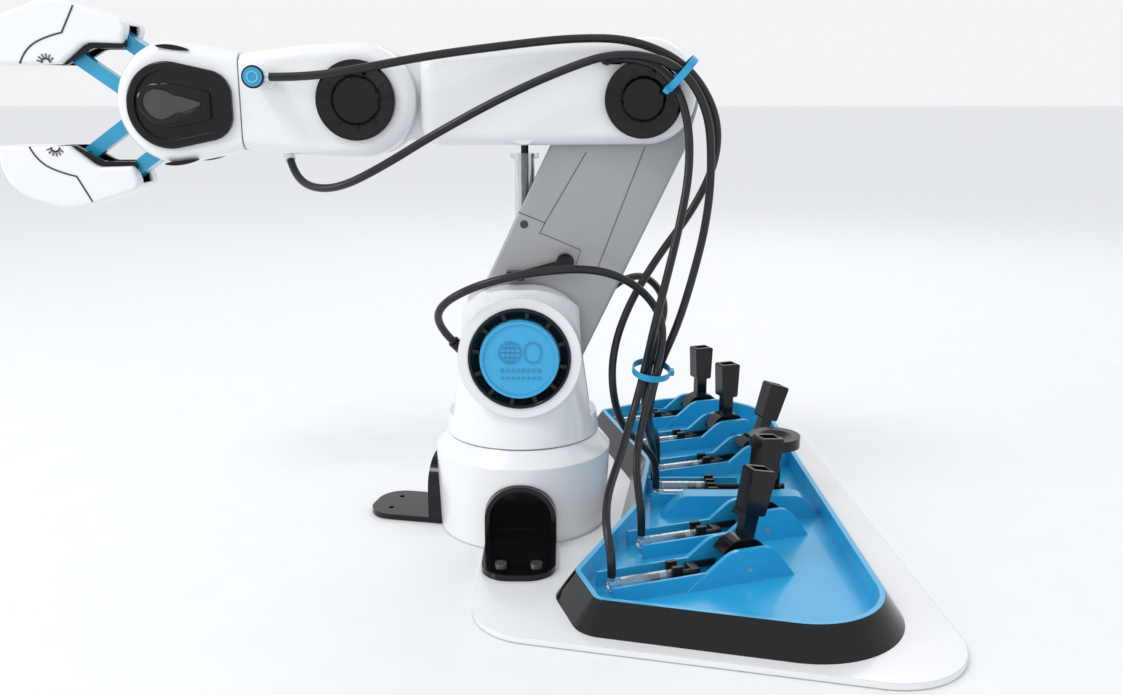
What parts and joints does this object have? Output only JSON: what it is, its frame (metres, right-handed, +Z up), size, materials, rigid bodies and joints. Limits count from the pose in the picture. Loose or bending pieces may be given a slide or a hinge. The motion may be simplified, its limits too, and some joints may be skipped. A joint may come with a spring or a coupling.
{
  "type": "hydraulic robot arm kit",
  "caption": "Desktop arm kit with a turning base, shoulder, elbow, wrist and parallel-jaw gripper, worked through hoses by hand levers with syringes on a side console.",
  "frame": {"origin": "on the turning axis of the turret, at the height of the surface that the kit stands on", "axes": "+Z up, +X towards the lever console, -X along the arm towards the gripper, -Y the side with the badge and the hoses"},
  "size_m": [0.4503, 0.3799, 0.272],
  "materials": {
    "white_shell": "gloss",
    "arm_grey": "satin",
    "black_gloss": "gloss",
    "blue_tray": "gloss",
    "blue_link": "gloss",
    "clear_barrel": "clear",
    "steel": "brushed",
    "hose_black": "satin",
    "blue_tie": "satin",
    "plunger_black": "satin"
  },
  "bodies": {
    "root": {"base_plate": "white_shell", "pedestal": "white_shell", "pedestal_feet": "black_gloss", "base_screws": "steel", "console_rim": "black_gloss", "console_tray": "blue_tray", "console_barrels": "clear_barrel", "console_clips": "plunger_black", "lever_axles": "steel", "roll_hose": "hose_black", "wrist_hose": "hose_black", "elbow_hose": "hose_black", "turret_front_hose": "hose_black", "turret_rear_hose": "hose_black"},
    "turret": {"turret_front_shell": "white_shell", "turret_rear_shell": "white_shell", "shoulder_rings": "black_gloss", "shoulder_badge": "blue_tray", "shoulder_shaft": "steel", "turret_inlets": "plunger_black", "turret_hose_tie": "blue_tie"},
    "upper_arm": {"upper_arm_front_shell": "arm_grey", "upper_arm_rear_shell": "arm_grey", "upper_arm_pins": "steel", "arm_port": "black_gloss", "elbow_hose_tie": "blue_tie"},
    "elbow_cylinder": {"elbow_cylinder": "clear_barrel"},
    "elbow_rod": {"elbow_rod": "plunger_black"},
    "forearm": {"forearm_front_shell": "white_shell", "forearm_rear_shell": "white_shell", "elbow_caps": "black_gloss"},
    "wrist": {"wrist_front_shell": "white_shell", "wrist_rear_shell": "white_shell", "wrist_caps": "black_gloss", "wrist_shaft": "steel", "wrist_inlets": "white_shell"},
    "head": {"head_front_shell": "white_shell", "head_rear_shell": "white_shell", "head_covers": "black_gloss"},
    "upper_inner_link": {"upper_inner_link": "blue_link"},
    "upper_outer_link": {"upper_outer_link": "blue_link"},
    "upper_jaw": {"upper_jaw": "white_shell", "upper_jaw_liner": "black_gloss"},
    "lower_inner_link": {"lower_inner_link": "blue_link"},
    "lower_outer_link": {"lower_outer_link": "blue_link"},
    "lower_jaw": {"lower_jaw": "white_shell", "lower_jaw_liner": "black_gloss"},
    "yaw_wheel": {"yaw_wheel": "black_gloss"},
    "yaw_plunger_front": {"yaw_plunger_front": "plunger_black"},
    "yaw_plunger_rear": {"yaw_plunger_rear": "plunger_black"},
    "lever_1": {"lever_1": "black_gloss"},
    "lever_plunger_1": {"lever_plunger_1": "plunger_black"},
    "lever_2": {"lever_2": "black_gloss"},
    "lever_plunger_2": {"lever_plunger_2": "plunger_black"},
    "lever_3": {"lever_3": "black_gloss"},
    "lever_plunger_3": {"lever_plunger_3": "plunger_black"},
    "lever_4": {"lever_4": "black_gloss"},
    "lever_plunger_4": {"lever_plunger_4": "plunger_black"},
    "lever_5": {"lever_5": "black_gloss"},
    "lever_plunger_5": {"lever_plunger_5": "plunger_black"}
  },
  "joints": [
    {"name": "turret_yaw", "type": "hinge", "parent": "root", "child": "turret", "pos_m": [0, 0, 0.052], "axis": [0, 0, 1], "range_deg": [-80, 80], "deforming": ["roll_hose", "wrist_hose", "elbow_hose", "turret_front_hose", "turret_rear_hose"]},
    {"name": "shoulder_pitch", "type": "hinge", "parent": "turret", "child": "upper_arm", "pos_m": [0, 0, 0.1], "axis": [0, 1, 0], "range_deg": [-35, 10], "deforming": ["roll_hose", "wrist_hose", "elbow_hose"]},
    {"name": "elbow_pitch", "type": "hinge", "parent": "upper_arm", "child": "forearm", "pos_m": [0.06, 0, 0.2245], "axis": [0, 1, 0], "range_deg": [-4, 37], "deforming": ["roll_hose", "wrist_hose", "elbow_hose"]},
    {"name": "elbow_cylinder_tilt", "type": "hinge", "parent": "upper_arm", "child": "elbow_cylinder", "pos_m": [0.002, 0, 0.146], "axis": [0, 1, 0], "range_deg": [-1, 2]},
    {"name": "elbow_rod_slide", "type": "slide", "parent": "elbow_cylinder", "child": "elbow_rod", "axis": [0, 0, 1], "range_m": [-0.0045, 0.038]},
    {"name": "wrist_pitch", "type": "hinge", "parent": "forearm", "child": "wrist", "pos_m": [-0.078, 0, 0.224], "axis": [0, 1, 0], "range_deg": [-25, 30], "deforming": ["roll_hose", "wrist_hose"]},
    {"name": "wrist_roll", "type": "hinge", "parent": "wrist", "child": "head", "pos_m": [-0.134, 0, 0.222], "axis": [1, 0, 0], "range_deg": [-90, 90]},
    {"name": "grip", "type": "hinge", "parent": "head", "child": "upper_inner_link", "pos_m": [-0.186, 0, 0.2215], "axis": [0, 1, 0], "range_deg": [-28, 5]},
    {"name": "upper_outer_swing", "type": "hinge", "parent": "head", "child": "upper_outer_link", "pos_m": [-0.1644, 0, 0.2315], "axis": [0, 1, 0], "range_deg": [-28.5, 5.5]},
    {"name": "upper_jaw_level", "type": "hinge", "parent": "upper_inner_link", "child": "upper_jaw", "pos_m": [-0.2196, 0, 0.2455], "axis": [0, 1, 0], "range_deg": [-5.5, 28.5]},
    {"name": "lower_inner_swing", "type": "hinge", "parent": "head", "child": "lower_inner_link", "pos_m": [-0.186, 0, 0.2215], "axis": [0, 1, 0], "range_deg": [-5.5, 28.5]},
    {"name": "lower_outer_swing", "type": "hinge", "parent": "head", "child": "lower_outer_link", "pos_m": [-0.1644, 0, 0.2115], "axis": [0, 1, 0], "range_deg": [-5.5, 28.5]},
    {"name": "lower_jaw_level", "type": "hinge", "parent": "lower_inner_link", "child": "lower_jaw", "pos_m": [-0.2196, 0, 0.1975], "axis": [0, 1, 0], "range_deg": [-28.5, 5.5]},
    {"name": "lever_1_tilt", "type": "hinge", "parent": "root", "child": "lever_1", "pos_m": [0.10502, -0.07943, 0.011], "axis": [-0.342, 0.9397, 0], "range_deg": [-26.4, 3.3]},
    {"name": "lever_1_push", "type": "slide", "parent": "root", "child": "lever_plunger_1", "axis": [0.9397, 0.342, 0], "range_m": [-0.00079, 0.00562]},
    {"name": "lever_2_tilt", "type": "hinge", "parent": "root", "child": "lever_2", "pos_m": [0.12202, -0.03243, 0.011], "axis": [-0.342, 0.9397, 0], "range_deg": [-25, 7.5]},
    {"name": "lever_2_push", "type": "slide", "parent": "root", "child": "lever_plunger_2", "axis": [0.9397, 0.342, 0], "range_m": [-0.00167, 0.00533]},
    {"name": "lever_3_tilt", "type": "hinge", "parent": "root", "child": "lever_3", "pos_m": [0.13902, 0.07357, 0.011], "axis": [-0.342, 0.9397, 0], "range_deg": [-24.5, 20.5]},
    {"name": "lever_3_push", "type": "slide", "parent": "root", "child": "lever_plunger_3", "axis": [0.9397, 0.342, 0], "range_m": [-0.00439, 0.00523]},
    {"name": "lever_4_tilt", "type": "hinge", "parent": "root", "child": "lever_4", "pos_m": [0.12902, 0.12157, 0.011], "axis": [-0.342, 0.9397, 0], "range_deg": [-25.7, 25.7]},
    {"name": "lever_4_push", "type": "slide", "parent": "root", "child": "lever_plunger_4", "axis": [0.9397, 0.342, 0], "range_m": [-0.00548, 0.00548]},
    {"name": "lever_5_tilt", "type": "hinge", "parent": "root", "child": "lever_5", "pos_m": [0.11802, 0.16857, 0.011], "axis": [-0.342, 0.9397, 0], "range_deg": [-25.7, 5]},
    {"name": "lever_5_push", "type": "slide", "parent": "root", "child": "lever_plunger_5", "axis": [0.9397, 0.342, 0], "range_m": [-0.00114, 0.00548]},
    {"name": "yaw_wheel_turn", "type": "hinge", "parent": "root", "child": "yaw_wheel", "pos_m": [0.14, 0.0175, 0.02], "axis": [0, 0, 1], "range_deg": [-80.5, 80.5]},
    {"name": "yaw_rack_front", "type": "slide", "parent": "root", "child": "yaw_plunger_front", "axis": [1, 0, 0], "range_m": [-0.0072, 0.0072]},
    {"name": "yaw_rack_rear", "type": "slide", "parent": "root", "child": "yaw_plunger_rear", "axis": [1, 0, 0], "range_m": [-0.0072, 0.0072]}
  ],
  "couplings": [
    {"joint": "elbow_cylinder_tilt", "follows": "elbow_pitch", "ratio": 0.035},
    {"joint": "elbow_rod_slide", "follows": "elbow_pitch", "m_per_rad": 0.0584},
    {"joint": "upper_outer_swing", "follows": "grip", "ratio": 1},
    {"joint": "upper_jaw_level", "follows": "grip", "ratio": -1},
    {"joint": "lower_inner_swing", "follows": "grip", "ratio": -1},
    {"joint": "lower_outer_swing", "follows": "grip", "ratio": -1},
    {"joint": "lower_jaw_level", "follows": "grip", "ratio": 1},
    {"joint": "lever_1_tilt", "follows": "elbow_pitch", "ratio": -0.7},
    {"joint": "lever_1_push", "follows": "elbow_pitch", "m_per_rad": 0.0084},
    {"joint": "lever_2_tilt", "follows": "shoulder_pitch", "ratio": 0.7},
    {"joint": "lever_2_push", "follows": "shoulder_pitch", "m_per_rad": -0.0084},
    {"joint": "lever_3_tilt", "follows": "wrist_pitch", "ratio": -0.8},
    {"joint": "lever_3_push", "follows": "wrist_pitch", "m_per_rad": 0.0096},
    {"joint": "lever_4_tilt", "follows": "wrist_roll", "ratio": 0.28},
    {"joint": "lever_4_push", "follows": "wrist_roll", "m_per_rad": -0.00336},
    {"joint": "lever_5_tilt", "follows": "grip", "ratio": 0.9},
    {"joint": "lever_5_push", "follows": "grip", "m_per_rad": -0.0108},
    {"joint": "yaw_wheel_turn", "follows": "turret_yaw", "ratio": -1},
    {"joint": "yaw_rack_front", "follows": "turret_yaw", "m_per_rad": -0.005},
    {"joint": "yaw_rack_rear", "follows": "turret_yaw", "m_per_rad": 0.005}
  ]
}
